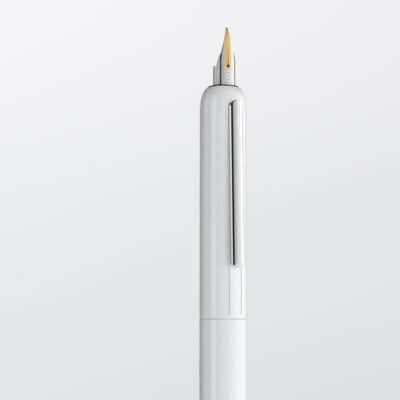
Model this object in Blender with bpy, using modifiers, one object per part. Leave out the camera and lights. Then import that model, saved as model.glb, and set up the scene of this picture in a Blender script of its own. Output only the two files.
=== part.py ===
"""Capless fountain pen with a twist-out nib, standing on its rear face with the nib up and extended.

Frame: +Z along the pen axis from the flat rear face (z = 0) to the nib. The clip faces -Y.
The rear barrel turns half a turn against the front barrel. That slides the nib unit back by TRAVEL, rolls the
eyelid closure over the mouth and lets the clip down until it lies parallel to the barrel.
"""

import bmesh
import bpy
from math import cos, pi, radians, sin, sqrt
from mathutils import Matrix, Vector

MM = 0.001

# Driving dimensions, in millimetres.
BARREL_R = 6.5  # outside radius of both barrels
BORE_R = 5.7  # inside radius of both barrels
MOUTH_R = 4.46  # outside radius of the flat rim at each end
DOME_L = 7.0  # length of each rounded end
DOME_PULL = 1.7  # how far the dome's control point lies behind the rim
LENGTH = 139.0  # rear face to front rim
RIM_H = 0.38  # height of the ring that stands above the lacquer at the mouth
JOINT_Z = 75.7  # line between the barrels
JOINT_GAP = 0.3
TRAVEL = 29.0  # stroke of the nib unit over half a turn
GAP = 0.3  # clearance between neighbouring pieces

SPHERE_Z = LENGTH - 6.5  # centre of the closure
LID_R = 5.2
LID_T = 0.5
LID_HALF = 42.0  # half of the closure's opening angle, degrees
LID_OPEN = 113.0  # direction of the open lid, degrees from the mouth towards +Y

CLIP_TOP = 134.2
CLIP_END = 89.5
CLIP_BASE_N = 6.2  # distance of the clip's lower edges from the pen axis, before its underside is hollowed
CLIP_CLEAR = 0.2  # clearance of the hollowed underside over the barrel
CLIP_FACE_N = 7.56
CLIP_BASE_HALF = 1.95
CLIP_FACE_HALF = 1.65
CLIP_HINGE = (-6.0, 132.4)  # y, z of the hinge that the clip lifts on
PLATE_AXIS = (-5.6, 126.5)  # y, z of the edge that the plate under it rocks on
CLIP_TILT = 1.25  # degrees the clip stands out while the nib is out

NIB_TIP = 16.5  # all nib heights are above the rim
NIB_SHOULDER = 7.1
NIB_BASE = -2.0
NIB_T = 0.25
HOLDER_R = 2.79
HOLDER_BORE = 2.08
HOLDER_TOP = 5.8
FEED_SHOULDER = 6.15
NIB_ROUND = 9.5
FEED_R = 1.9

LUG_Z = 92.7  # height of the drive lugs with the nib out
SEG = 48

bpy.context.preferences.edit.use_global_undo = False
for old in list(bpy.data.objects):
    bpy.data.objects.remove(old, do_unlink=True)

pen = bpy.data.collections.new("capless_pen")
cutters = bpy.data.collections.new("cutters")
bpy.context.scene.collection.children.link(pen)
bpy.context.scene.collection.children.link(cutters)


def material(name, color, roughness, metallic=0.0, alpha=1.0):
    m = bpy.data.materials.new(name)
    m.use_nodes = True
    b = m.node_tree.nodes["Principled BSDF"]
    b.inputs["Base Color"].default_value = (*color, 1.0)
    b.inputs["Roughness"].default_value = roughness
    b.inputs["Metallic"].default_value = metallic
    b.inputs["Alpha"].default_value = alpha
    return m


WHITE = (0.78, 0.79, 0.80)
STEEL = (0.62, 0.62, 0.63)
CHROME = (0.75, 0.75, 0.76)
GOLD = (0.83, 0.66, 0.36)
DARK = (0.08, 0.08, 0.085)


def add(name, mesh, color, roughness, metallic=0.0, alpha=1.0, group=None):
    """Links a finished mesh as one named piece with its own material."""
    ob = bpy.data.objects.new(name, mesh)
    (group or pen).objects.link(ob)
    mesh.materials.clear()
    if group is cutters:
        ob.hide_render = True
        ob.display_type = "WIRE"
    else:
        mesh.materials.append(material(name, color, roughness, metallic, alpha))
        mesh.shade_smooth()
        mesh.set_sharp_from_angle(angle=radians(35))
    return ob


def baked(ob):
    """Applies the modifiers of an object by swapping in its evaluated mesh."""
    bpy.context.view_layer.update()
    deps = bpy.context.evaluated_depsgraph_get()
    mesh = bpy.data.meshes.new_from_object(ob.evaluated_get(deps))
    ob.modifiers.clear()
    ob.data = mesh
    return ob


def lathe(name, profile, look, steps=SEG, group=None):
    """Turns a closed profile of (radius, height) points about +Z. The profile starts on the outer side at the top."""
    mesh = bpy.data.meshes.new(name)
    bm = bmesh.new()
    vs = [bm.verts.new((r * MM, 0.0, z * MM)) for r, z in profile]
    for i, v in enumerate(vs):
        if profile[i - 1][0] > 0 or profile[i][0] > 0:  # the stretch along the axis stays open
            bm.edges.new((vs[i - 1], v))
    bm.to_mesh(mesh)
    bm.free()
    ob = add(name, mesh, *look, group=group)
    s = ob.modifiers.new("turn", "SCREW")
    s.axis = "Z"
    s.steps = s.render_steps = steps
    s.use_merge_vertices = True
    s.merge_threshold = 0.00001
    s.use_smooth_shade = True
    return ob


def tube(name, outer, inner, low, high, look, steps=SEG, chamfer=0.0, group=None):
    """A plain tube with its front outer edge optionally chamfered."""
    top = [(outer, high)] if not chamfer else [(outer - chamfer, high), (outer, high - chamfer)]
    return lathe(name, top + [(outer, low), (inner, low), (inner, high)], look, steps, group)


def box(name, low, high, group=None, look=((0.5, 0.5, 0.5), 0.5)):
    mesh = bpy.data.meshes.new(name)
    bm = bmesh.new()
    bmesh.ops.create_cube(bm, size=1.0)
    size = [(h - l) * MM for l, h in zip(low, high)]
    mid = [(h + l) / 2 * MM for l, h in zip(low, high)]
    bmesh.ops.scale(bm, vec=size, verts=bm.verts)
    bmesh.ops.translate(bm, vec=mid, verts=bm.verts)
    bm.to_mesh(mesh)
    bm.free()
    return add(name, mesh, *look, group=group)


def rod(name, radius, start, end, look=((0.5, 0.5, 0.5), 0.5), sides=16, group=None):
    """A solid cylinder between two points."""
    a, b = Vector(start) * MM, Vector(end) * MM
    turn = (b - a).to_track_quat("Z", "Y").to_matrix().to_4x4()
    mesh = bpy.data.meshes.new(name)
    bm = bmesh.new()
    bmesh.ops.create_cone(bm, cap_ends=True, segments=sides, radius1=radius * MM, radius2=radius * MM, depth=(b - a).length)
    bmesh.ops.transform(bm, matrix=Matrix.Translation((a + b) / 2) @ turn, verts=bm.verts)
    bm.to_mesh(mesh)
    bm.free()
    return add(name, mesh, *look, group=group)


def boolean(ob, other, operation="DIFFERENCE"):
    m = ob.modifiers.new(operation.lower(), "BOOLEAN")
    m.operation = operation
    m.solver = "EXACT"
    m.object = other


def sheared_tube(name, outer, wall, levels, columns, twist, is_slot, look):
    """A tube of rows and columns whose columns climb by twist radians per millimetre, with slot cells left out."""
    mesh = bpy.data.meshes.new(name)
    bm = bmesh.new()
    rows = []
    for z in levels:
        angles = [2 * pi * (c + 0.5) / columns + twist * (LUG_Z - z) for c in range(columns)]
        rows.append([bm.verts.new((outer * cos(a) * MM, outer * sin(a) * MM, z * MM)) for a in angles])
    for i, (low, high) in enumerate(zip(rows, rows[1:])):
        for c in range(columns):
            if not is_slot(i, c):
                d = (c + 1) % columns
                bm.faces.new((low[c], low[d], high[d], high[c]))
    bm.to_mesh(mesh)
    bm.free()
    ob = add(name, mesh, *look)
    s = ob.modifiers.new("wall", "SOLIDIFY")
    s.thickness = wall * MM
    s.offset = -1.0
    s.use_even_offset = True
    return ob


def dome(r_rim, r_side, count=8):
    """Points (radius, depth behind the rim) of a rounded end, a quadratic curve from the rim to the side."""
    points = []
    for i in range(count + 1):
        t = i / count
        r = (1 - t) ** 2 * r_rim + 2 * t * (1 - t) * r_side + t * t * r_side
        points.append((r, 2 * t * (1 - t) * DOME_PULL + t * t * DOME_L))
    return points


lacquer = (WHITE, 0.18)
steel = (STEEL, 0.35, 1.0)
chrome = (CHROME, 0.08, 1.0)
brass = ((0.72, 0.58, 0.32), 0.3, 1.0)
dark_plastic = (DARK, 0.45)

# Rear barrel: a tube with a rounded closed end. The disc set in its end is the flat face that it stands on.
front_edge = JOINT_Z - JOINT_GAP / 2
ends = dome(MOUTH_R, BARREL_R)
inside = [(r, d + 0.75) for r, d in dome(MOUTH_R - 0.1, BORE_R, 5)][1:]
profile = [(BARREL_R - 0.1, front_edge), (BARREL_R, front_edge - 0.1)]
profile += [(r, d) for r, d in reversed(ends)]
profile += [(MOUTH_R - 0.16, 0.0), (MOUTH_R - 0.16, 1.35)] + inside + [(BORE_R, front_edge)]
rear_barrel = lathe("rear_barrel", profile, lacquer)
rear_disc = lathe("rear_end_disc", [(0.0, 1.2), (3.8, 1.2), (4.0, 1.0), (4.0, 0.0), (0.0, 0.0)], chrome)

# Front barrel: the same tube the other way up, with a mouth, two bearing holes for the closure and a clip slot.
rear_edge = JOINT_Z + JOINT_GAP / 2
inside = [(r, LENGTH - 0.75 - d) for r, d in dome(MOUTH_R - 0.1, BORE_R, 5)][1:]
profile = [(MOUTH_R + 0.14, LENGTH - RIM_H)] + [(r, LENGTH - d) for r, d in ends[1:]]
profile += [(BARREL_R, rear_edge + 0.1), (BARREL_R - 0.1, rear_edge), (BORE_R, rear_edge)]
profile += list(reversed(inside)) + [(MOUTH_R - 0.16, LENGTH - 1.2), (MOUTH_R - 0.16, LENGTH - RIM_H)]
front_barrel = lathe("front_barrel", profile, lacquer)
slot = box("clip_slot_cutter", (-1.9, -7.5, 125.2), (1.9, -5.0, 133.4), cutters)
boolean(front_barrel, slot)
for side in (-1, 1):
    tag = "left" if side < 0 else "right"
    hole = rod(f"bearing_cutter_{tag}", 0.9, (side * 4.0, 0, SPHERE_Z), (side * 6.2, 0, SPHERE_Z), group=cutters)
    boolean(front_barrel, hole)
    # Two fine lines run under the clip's end and down both barrels.
    angle = radians(-90 + side * 16.75)
    for end, low, high, barrel in (("front", 76.7, 89.3, front_barrel), ("rear", 12.0, 74.7, rear_barrel)):
        line = box(f"line_cutter_{end}_{tag}", (-0.15, -0.15, low), (0.15, 0.15, high), cutters)
        line.location = (cos(angle) * BARREL_R * MM, sin(angle) * BARREL_R * MM, 0)
        # With the nib out the rear barrel stands half a turn away from the lines of the front one.
        if end == "rear":
            line.location = (-line.location.x, -line.location.y, 0)
        line.rotation_euler = (0, 0, angle)
        boolean(barrel, line)

# A thin washer fills the turning joint between the barrels.
tube("joint_washer", 6.3, 5.75, JOINT_Z - 0.08, JOINT_Z + 0.08, ((0.6, 0.6, 0.6), 0.4), 48)

# Mouth: a bright ring as the rim and a soft lip behind it.
lathe("mouth_ring", [(MOUTH_R - 0.02, LENGTH), (MOUTH_R + 0.06, LENGTH - 0.08), (MOUTH_R + 0.06, LENGTH - RIM_H + 0.08),
                     (4.15, LENGTH - RIM_H + 0.08), (4.15, LENGTH - 1.1), (3.8, LENGTH - 1.1), (3.8, LENGTH - 0.15),
                     (3.95, LENGTH)], chrome)
lathe("mouth_seal", [(4.0, LENGTH - 1.3), (4.45, LENGTH - 2.0), (3.85, LENGTH - 2.0), (3.6, LENGTH - 1.6),
                     (3.6, LENGTH - 1.3)], ((0.1, 0.1, 0.1), 0.6), 32)

# Closure: an eyelid cut from a ball, with a boss and a trunnion on each side.
mesh = bpy.data.meshes.new("closure_lid")
bm = bmesh.new()
grid = []
for i in range(9):
    a = radians(LID_OPEN - LID_HALF + 2 * LID_HALF * i / 8)
    row = []
    for j in range(17):
        b = radians(9 + 162 * j / 16)
        row.append(bm.verts.new((LID_R * cos(b) * MM, LID_R * sin(b) * sin(a) * MM,
                                 (SPHERE_Z + LID_R * sin(b) * cos(a)) * MM)))
    grid.append(row)
for r0, r1 in zip(grid, grid[1:]):
    for j in range(16):
        bm.faces.new((r0[j], r1[j], r1[j + 1], r0[j + 1]))
bm.to_mesh(mesh)
bm.free()
lid = add("closure_lid", mesh, *steel)
s = lid.modifiers.new("wall", "SOLIDIFY")
s.thickness = LID_T * MM
s.offset = -1.0
s.use_even_offset = True
for side in (-1, 1):
    tag = "left" if side < 0 else "right"
    boss = rod(f"boss_adder_{tag}", 1.15, (side * 4.62, 0, SPHERE_Z), (side * 5.33, 0, SPHERE_Z), group=cutters)
    pin = rod(f"trunnion_adder_{tag}", 0.6, (side * 5.0, 0, SPHERE_Z), (side * 6.0, 0, SPHERE_Z), group=cutters)
    boolean(lid, boss, "UNION")
    boolean(lid, pin, "UNION")

# Bulkhead behind the closure, with room for the nib unit to pass.
tube("bulkhead_ring", 5.4, 3.95, 122.0, 123.5, steel, 32)

# Guide sleeve with two straight slots, fixed in the front barrel by its collar.
lug_low = LUG_Z - TRAVEL
levels = [58.0, lug_low - 1.4, LUG_Z + 1.4, 108.0]
sheared_tube("guide_sleeve", 4.65, 0.4, levels, 32, 0.0, lambda i, c: i == 1 and c % 16 in (15, 0, 14, 1), steel)
tube("guide_collar", 5.4, 4.95, 104.5, 107.5, brass, 32)
tube("thrust_ring", 5.4, 4.95, 98.3, 100.0, ((0.9, 0.9, 0.88), 0.4), 32)

# Cam sleeve with two helical slots, fixed in the rear barrel. Its slots climb half a turn over the stroke.
count = 18
cam_levels = [60.0, lug_low - 1.5] + [lug_low - 1.5 + (TRAVEL + 3.0) * i / count for i in range(1, count + 1)] + [98.0]
sheared_tube("cam_sleeve", 5.35, 0.4, cam_levels, 32, pi / TRAVEL,
             lambda i, c: 0 < i <= count and c % 16 in (15, 0, 14, 1), brass)

# Nib unit, front to back. Heights of the nib and its holder count from the rim.


def nib_half_width(z):
    s = max(0.0, (z - NIB_SHOULDER) / (NIB_TIP - NIB_SHOULDER))
    return 0.22 + 2.26 * max(0.0, 1 - s**1.3) ** 1.2


def nib_crown(z):
    s = min(1.0, max(0.0, (z - 3.0) / (NIB_TIP - 3.0)))
    return 2.69 - 0.71 * s**3.2


mesh = bpy.data.meshes.new("nib")
bm = bmesh.new()
rows = []
heights = [NIB_BASE, 1.0, 4.0, 5.5, NIB_SHOULDER] + [NIB_SHOULDER + 8.6 * i / 7 for i in range(1, 8)]
for z in heights:
    w, n = nib_half_width(z), nib_crown(z)
    row = []
    for i in range(11):
        u = -w + 2 * w * i / 10
        fold = max(0.0, abs(u) / w - 0.75) * 0.3 * w / 2.5
        row.append(bm.verts.new((u * MM, -(n - (NIB_ROUND - sqrt(NIB_ROUND**2 - u * u)) - fold) * MM, (LENGTH + z) * MM)))
    rows.append(row)
for r0, r1 in zip(rows, rows[1:]):
    for i in range(10):
        bm.faces.new((r0[i], r0[i + 1], r1[i + 1], r1[i]))
bm.to_mesh(mesh)
bm.free()
nib = add("nib", mesh, GOLD, 0.15, 1.0)
s = nib.modifiers.new("sheet", "SOLIDIFY")
s.thickness = NIB_T * MM
s.offset = -1.0
s.use_even_offset = True
boolean(nib, rod("breather_cutter", 0.4, (0, -5, LENGTH + 5.5), (0, 0, LENGTH + 5.5), group=cutters))
boolean(nib, box("slit_cutter", (-0.05, -5, LENGTH + 5.5), (0.05, 0, LENGTH + 17), cutters))

mesh = bpy.data.meshes.new("nib_tipping")
bm = bmesh.new()
bmesh.ops.create_uvsphere(bm, u_segments=12, v_segments=8, radius=0.3 * MM)
bmesh.ops.scale(bm, vec=(0.9, 1.0, 0.9), verts=bm.verts)
bmesh.ops.translate(bm, vec=(0, -1.78 * MM, (LENGTH + NIB_TIP - 0.25) * MM), verts=bm.verts)
bm.to_mesh(mesh)
bm.free()
add("nib_tipping", mesh, STEEL, 0.3, 1.0)

lathe("feed", [(0.0, LENGTH + 10.3), (0.45, LENGTH + 10.1), (0.97, LENGTH + 9.4), (FEED_R, LENGTH + FEED_SHOULDER),
               (FEED_R, LENGTH - 1.6), (0.85, LENGTH - 1.6), (0.85, 122.0), (0.0, 122.0)], ((0.55, 0.55, 0.54), 0.4), 32)

holder = tube("nib_holder", HOLDER_R, HOLDER_BORE, LENGTH - 2.0, LENGTH + HOLDER_TOP, ((0.8, 0.8, 0.79), 0.3), 40, 0.12)
boolean(holder, box("holder_flat_cutter", (-4, -4, LENGTH - 3), (4, 0.3, LENGTH + 8), cutters))
tube("carrier_tube", 1.7, 1.2, 121.6, LENGTH - 2.3, steel, 24)

lathe("carriage_head", [(3.3, 121.3), (3.9, 120.7), (3.9, 115.8), (1.3, 115.8), (1.3, 111.0), (0.7, 111.0),
                        (0.7, 121.3)], dark_plastic, 32)
tube("carriage_sleeve", 3.9, 3.4, 95.0, 115.5, steel, 32)
ring = tube("drive_ring", 3.9, 3.4, LUG_Z - 2, LUG_Z + 2, brass, 32)
for side in (-1, 1):
    tag = "left" if side < 0 else "right"
    boolean(ring, rod(f"lug_adder_{tag}", 0.55, (side * 3.6, 0, LUG_Z), (side * 5.25, 0, LUG_Z), group=cutters), "UNION")

# Piston converter that holds the ink.
lathe("ink_tube", [(3.1, 114.0), (3.1, 70.0), (2.6, 70.0), (2.6, 112.5), (1.7, 112.5), (1.7, 114.0)],
      ((0.85, 0.88, 0.9), 0.05, 0.0, 0.35), 32)
tube("converter_band", 3.8, 3.4, 70.0, 77.0, chrome, 32, 0.1)
lathe("converter_knob", [(3.0, 69.7), (3.0, 46.0), (0.0, 46.0), (0.0, 47.0), (1.3, 47.0), (1.3, 69.7)], dark_plastic, 24)
lathe("piston_rod", [(0.0, 79.0), (1.6, 79.0), (1.6, 78.0), (0.9, 78.0), (0.9, 48.0), (0.0, 48.0)], steel, 20)
lathe("piston", [(0.0, 83.0), (1.5, 83.0), (2.3, 82.0), (2.3, 79.3), (0.0, 79.3)], ((0.12, 0.12, 0.12), 0.6), 24)

# A spring between the rear disc and a cup on the converter takes up the play of the nib unit.
lathe("spring_cup", [(0.0, 45.7), (3.4, 45.7), (3.4, 44.9), (0.0, 44.9)], steel, 24)
turns, per_turn = 10, 14
curve = bpy.data.curves.new("take_up_spring", "CURVE")
curve.dimensions = "3D"
curve.bevel_depth = 0.25 * MM
curve.bevel_resolution = 1
curve.use_fill_caps = True
spline = curve.splines.new("POLY")
spline.points.add(turns * per_turn)
for i, p in enumerate(spline.points):
    a = 2 * pi * i / per_turn
    z = 1.8 + (44.3 - 1.8) * i / (turns * per_turn)
    p.co = (3.0 * cos(a) * MM, 3.0 * sin(a) * MM, z * MM, 1.0)
coil = bpy.data.objects.new("coil", curve)
pen.objects.link(coil)
bpy.context.view_layer.update()
mesh = bpy.data.meshes.new_from_object(coil.evaluated_get(bpy.context.evaluated_depsgraph_get()))
bpy.data.objects.remove(coil, do_unlink=True)
bm = bmesh.new()
bm.from_mesh(mesh)
bmesh.ops.remove_doubles(bm, verts=bm.verts, dist=0.00001)
bm.to_mesh(mesh)
bm.free()
add("take_up_spring", mesh, *steel)

# Clip: a bar whose section narrows outwards, with a round top end and a nearly square free end.


def clip_outline(half, top, end, corner):
    """Points (u, z) round the bar, anticlockwise seen from outside."""
    points = []
    for i in range(9):
        a = pi * i / 8
        points.append((half * cos(a), top - half + half * sin(a)))
    for cx, start in ((-half + corner, pi), (half - corner, 1.5 * pi)):
        for i in range(4):
            a = start + 0.5 * pi * i / 3
            points.append((cx + corner * cos(a), end + corner + corner * sin(a)))
    return points


mesh = bpy.data.meshes.new("clip_bar")
bm = bmesh.new()
base = [bm.verts.new((u * MM, -CLIP_BASE_N * MM, z * MM))
        for u, z in clip_outline(CLIP_BASE_HALF, CLIP_TOP + 0.25, CLIP_END + 0.5, 0.6)]
face = [bm.verts.new((u * MM, -CLIP_FACE_N * MM, z * MM))
        for u, z in clip_outline(CLIP_FACE_HALF, CLIP_TOP, CLIP_END, 0.5)]
bm.faces.new(reversed(base))
bm.faces.new(face)
for i in range(len(base)):
    j = (i + 1) % len(base)
    bm.faces.new((base[i], base[j], face[j], face[i]))
bmesh.ops.recalc_face_normals(bm, faces=bm.faces)
bm.to_mesh(mesh)
bm.free()
clip = add("clip_bar", mesh, *chrome)
boolean(clip, rod("clip_hollow_cutter", BARREL_R + CLIP_CLEAR, (0, 0, 85), (0, 0, 140), sides=96, group=cutters))
boolean(clip, box("clip_channel_cutter", (-1.5, -6.95, 91.0), (1.5, -5, 133.4), cutters))
boolean(clip, box("clip_tang_adder", (-0.8, -7.2, 131.8), (0.8, -5.75, 133.0), cutters), "UNION")
boolean(clip, rod("clip_pin_adder", 0.3, (-1.55, CLIP_HINGE[0], CLIP_HINGE[1]), (1.55, CLIP_HINGE[0], CLIP_HINGE[1]),
                  group=cutters), "UNION")
baked(clip)
hinge = Vector((0, CLIP_HINGE[0], CLIP_HINGE[1])) * MM
tilt = Matrix.Translation(hinge) @ Matrix.Rotation(radians(-CLIP_TILT), 4, "X") @ Matrix.Translation(-hinge)
clip.data.transform(tilt)

# Plate in the slot below the clip: the twist rocks it, which carries the clip, and the clip can still be lifted.
plate = box("clip_plate", (-1.45, -6.2, 125.7), (1.45, -5.8, 131.5), look=steel)
plate.data.transform(tilt)
rocker = Vector((0, PLATE_AXIS[0], PLATE_AXIS[1])) * MM

# Moving pieces turn about their own origins.
for ob, origin in ((clip, hinge), (plate, rocker), (bpy.data.objects["closure_lid"], Vector((0, 0, SPHERE_Z * MM)))):
    if ob.name == "closure_lid":
        baked(ob)
    ob.data.transform(Matrix.Translation(-origin))
    ob.location = origin
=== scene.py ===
"""Looks for the capless fountain pen: smooth shells, nib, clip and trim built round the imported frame.

The pen stands on its rear end, along Z, with the clip and the nib's outer face towards -Y. Its pieces are
drawn in millimetres, and piece() turns each finished mesh into metres. The floor, camera and lights are in
metres.
"""

from math import asin, atan, cos, degrees, pi, radians, sin, sqrt, tan

import bmesh
import bpy
from mathutils import Matrix, Vector


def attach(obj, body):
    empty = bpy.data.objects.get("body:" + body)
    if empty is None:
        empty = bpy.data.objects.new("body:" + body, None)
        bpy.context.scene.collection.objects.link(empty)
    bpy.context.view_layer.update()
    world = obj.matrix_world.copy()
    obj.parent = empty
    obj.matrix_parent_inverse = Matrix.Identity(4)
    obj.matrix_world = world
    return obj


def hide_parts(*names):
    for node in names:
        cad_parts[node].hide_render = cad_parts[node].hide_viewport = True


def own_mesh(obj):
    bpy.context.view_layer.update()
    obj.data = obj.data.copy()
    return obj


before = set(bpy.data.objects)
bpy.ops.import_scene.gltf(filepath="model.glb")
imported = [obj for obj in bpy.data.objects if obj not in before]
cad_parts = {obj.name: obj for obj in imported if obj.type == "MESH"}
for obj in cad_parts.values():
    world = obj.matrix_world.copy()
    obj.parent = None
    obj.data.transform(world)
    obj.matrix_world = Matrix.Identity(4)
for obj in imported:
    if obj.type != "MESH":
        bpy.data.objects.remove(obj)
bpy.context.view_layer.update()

MM = 0.001

# Driving dimensions. Heights of the nib and its holder count from the front rim, at LENGTH. LID_HALF,
# LID_OPEN and CLIP_TILT are angles in degrees.
LENGTH, RIM_H = 139.0, 0.42
BARREL_R, BORE_R, MOUTH_R = 6.5, 5.7, 4.46
DOME_L, DOME_PULL = 7.0, 1.7
JOINT_Z, JOINT_GAP = 75.7, 0.3
LID_Z, LID_R, LID_T, LID_HALF, LID_OPEN = 132.5, 5.2, 0.5, 42.0, 113.0
NIB_TIP, NIB_SHOULDER, NIB_BASE, NIB_T, NIB_ROUND, BREATHER = 16.5, 7.1, -2.0, 0.25, 9.5, 5.5
HOLDER_R, HOLDER_BORE, HOLDER_BASE, HOLDER_TOP = 2.79, 2.08, -2.0, 5.8
FEED_R = 1.9
CLIP_TILT, CLIP_HINGE = 1.25, (-6.0, 132.4)

look = bpy.data.collections.new("looks")
bpy.context.scene.collection.children.link(look)


def clamp(value):
    return min(1.0, max(0.0, value))


# ---------------------------------------------------------------- materials


class Graph:
    """Short names for the nodes of one material."""

    def __init__(self, name):
        self.material = bpy.data.materials.new(name)
        self.material.use_nodes = True
        self.tree = self.material.node_tree
        self.shader = self.tree.nodes["Principled BSDF"]

    def node(self, kind, **values):
        n = self.tree.nodes.new(kind)
        for key, value in values.items():
            setattr(n, key, value)
        return n

    def feed(self, socket, value):
        """Links the value where it is a socket, and sets it otherwise."""
        if isinstance(value, bpy.types.NodeSocket):
            self.tree.links.new(value, socket)
        elif value is not None:
            socket.default_value = value

    def math(self, op, a, b=None, c=None):
        n = self.node("ShaderNodeMath", operation=op)
        for socket, value in zip(n.inputs, (a, b, c)):
            self.feed(socket, value)
        return n.outputs[0]

    def place(self, scale=(1, 1, 1)):
        """Object coordinates, stretched."""
        t = self.node("ShaderNodeTexCoord")
        m = self.node("ShaderNodeMapping")
        self.feed(m.inputs["Vector"], t.outputs["Object"])
        m.inputs["Scale"].default_value = scale
        return m.outputs["Vector"]

    def xyz(self):
        """Object coordinates, one by one."""
        t = self.node("ShaderNodeTexCoord")
        s = self.node("ShaderNodeSeparateXYZ")
        self.feed(s.inputs[0], t.outputs["Object"])
        return s.outputs

    def distance(self, a, b):
        """Length of the diagonal over a and b."""
        return self.math("SQRT", self.math("ADD", self.math("MULTIPLY", a, a), self.math("MULTIPLY", b, b)))

    def noise(self, scale, detail=3.0, rough=0.5, stretch=(1, 1, 1)):
        n = self.node("ShaderNodeTexNoise")
        self.feed(n.inputs["Vector"], self.place(stretch))
        n.inputs["Scale"].default_value = scale
        n.inputs["Detail"].default_value = detail
        n.inputs["Roughness"].default_value = rough
        return n.outputs["Fac"]

    def span(self, value, low, high, to_low, to_high, smooth=False):
        """Maps low..high to to_low..to_high, and holds the ends."""
        n = self.node("ShaderNodeMapRange")
        n.interpolation_type = "SMOOTHSTEP" if smooth else "LINEAR"
        inputs = {"Value": value, "From Min": low, "From Max": high, "To Min": to_low, "To Max": to_high}
        for key, v in inputs.items():
            self.feed(n.inputs[key], v)
        return n.outputs["Result"]

    def mix(self, factor, a, b):
        n = self.node("ShaderNodeMix", data_type="RGBA")
        self.feed(n.inputs[0], factor)
        for socket, value in ((n.inputs[6], a), (n.inputs[7], b)):
            self.feed(socket, (*value, 1.0) if isinstance(value, tuple) else value)
        return n.outputs[2]

    def bump(self, height, strength, distance, under=None):
        n = self.node("ShaderNodeBump")
        self.feed(n.inputs["Height"], height)
        n.inputs["Strength"].default_value = strength
        n.inputs["Distance"].default_value = distance
        self.feed(n.inputs["Normal"], under)
        return n.outputs["Normal"]

    def finish(self, color, roughness, normal, **plain):
        """Feeds the shader. Plain values are set on its own sockets, with _ for a space in their names."""
        sockets = self.shader.inputs
        self.feed(sockets["Base Color"], color)
        self.feed(sockets["Roughness"], roughness)
        self.feed(sockets["Normal"], normal)
        for key, value in plain.items():
            sockets[key.replace("_", " ")].default_value = value
        return self.material


def lacquer():
    """White lacquer with a clear coat and a trace of orange peel."""
    g = Graph("white_lacquer")
    tone = g.mix(g.noise(60, 2), (0.808, 0.813, 0.822), (0.818, 0.822, 0.829))
    peel = g.bump(g.noise(900, 1, 0.4), 0.02, 0.004 * MM)
    rough = g.span(g.noise(500, 3, 0.5), 0.3, 0.7, 0.23, 0.28)
    return g.finish(tone, rough, peel, Coat_Weight=1.0, Coat_Roughness=0.035, Coat_IOR=1.5, IOR=1.45)


def polished(name, low, high, rough_low=0.035, rough_high=0.075, grain=(1, 1, 0.04), wall=None):
    """Polished metal with faint wipe marks along the pen. Sides further out than wall, in mm, are painted
    dark grey: painted shade for the shadow line where the clip's sides meet the barrel.
    """
    g = Graph(name)
    color = g.mix(g.noise(400, 3), low, high)
    wipe = g.noise(9000, 3, 0.6, grain)
    haze = g.noise(260, 4, 0.6)
    both = g.math("ADD", g.math("MULTIPLY", wipe, 0.4), g.math("MULTIPLY", haze, 0.6))
    rough = g.span(both, 0.35, 0.65, rough_low, rough_high)
    # Painted shade: the sides beyond wall turn dark grey, for the shadow line beside the clip.
    if wall:
        side = g.math("ABSOLUTE", g.math("MULTIPLY", g.xyz()[0], 1 / MM))
        color = g.mix(g.span(side, wall, wall + 0.015, 0.0, 1.0, True), color, (0.33, 0.33, 0.34))
    return g.finish(color, rough, g.bump(wipe, 0.03, 0.004 * MM), Metallic=1.0)


def brushed(name, low, high, rough=(0.24, 0.36), grain=(1, 1, 14)):
    """Turned metal: fine rings round the axis."""
    g = Graph(name)
    lines = g.noise(2600, 4, 0.65, grain)
    color = g.mix(lines, low, high)
    return g.finish(color, g.span(lines, 0.3, 0.7, *rough), g.bump(lines, 0.12, 0.01 * MM), Metallic=1.0)


def plastic(name, low, high, rough=(0.32, 0.42), grain=5200, depth=0.01 * MM, strength=0.12, **plain):
    """Moulded plastic or rubber: an even colour with a fine satin grain."""
    g = Graph(name)
    fine = g.noise(grain, 4, 0.55)
    color = g.mix(g.noise(320, 3), low, high)
    return g.finish(color, g.span(fine, 0.3, 0.7, *rough), g.bump(fine, strength, depth), **plain)


STRIPE_HALF, STRIPE_LOW = 0.92, 5.38
RULES = ((2.6, 0.42), (1.75, 0.6), (0.8, 1.45))


def nib_ornament(g, x, side, up):
    """Engraved strokes under the breather hole: a chevron and three short dotted rules."""
    def stroke(distance, half):
        return g.span(g.math("ABSOLUTE", distance), half, half + 0.05, 1.0, 0.0, True)

    chevron = stroke(g.math("SUBTRACT", up, g.math("ADD", 3.55, g.math("MULTIPLY", side, 0.9))), 0.055)
    marks = g.math("MULTIPLY", chevron, g.math("LESS_THAN", side, 0.36))
    dots = g.span(g.math("SINE", g.math("MULTIPLY", x, 17.0)), -0.3, 0.5, 0.15, 1.0)
    for height, half_width in RULES:
        line = stroke(g.math("SUBTRACT", up, height), 0.10)
        rule = g.math("MULTIPLY", line, g.math("LESS_THAN", side, half_width))
        marks = g.math("MAXIMUM", marks, g.math("MULTIPLY", rule, dots))
    return marks


def painted_nib_edge_shade(g, x, side, up):
    """Painted shade: a dark line along the nib's two edges, for the shadow and dark reflection there. It
    fades out towards the point, on the left side further up.
    """
    taper = g.math("MULTIPLY", g.math("MAXIMUM", g.math("SUBTRACT", up, 7.3), 0.0), 0.18)
    beyond = g.math("SUBTRACT", side, g.math("SUBTRACT", 2.07, taper))
    left = g.math("MULTIPLY", g.math("LESS_THAN", x, 0.0), g.span(up, 10.6, 13.6, 0.85, 0.0))
    reach = g.math("MAXIMUM", g.span(up, 8.2, 10.2, 1.0, 0.0), left)
    return g.math("MULTIPLY", g.span(beyond, -0.02, 0.02, 0.0, 1.0, True), reach)


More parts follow.
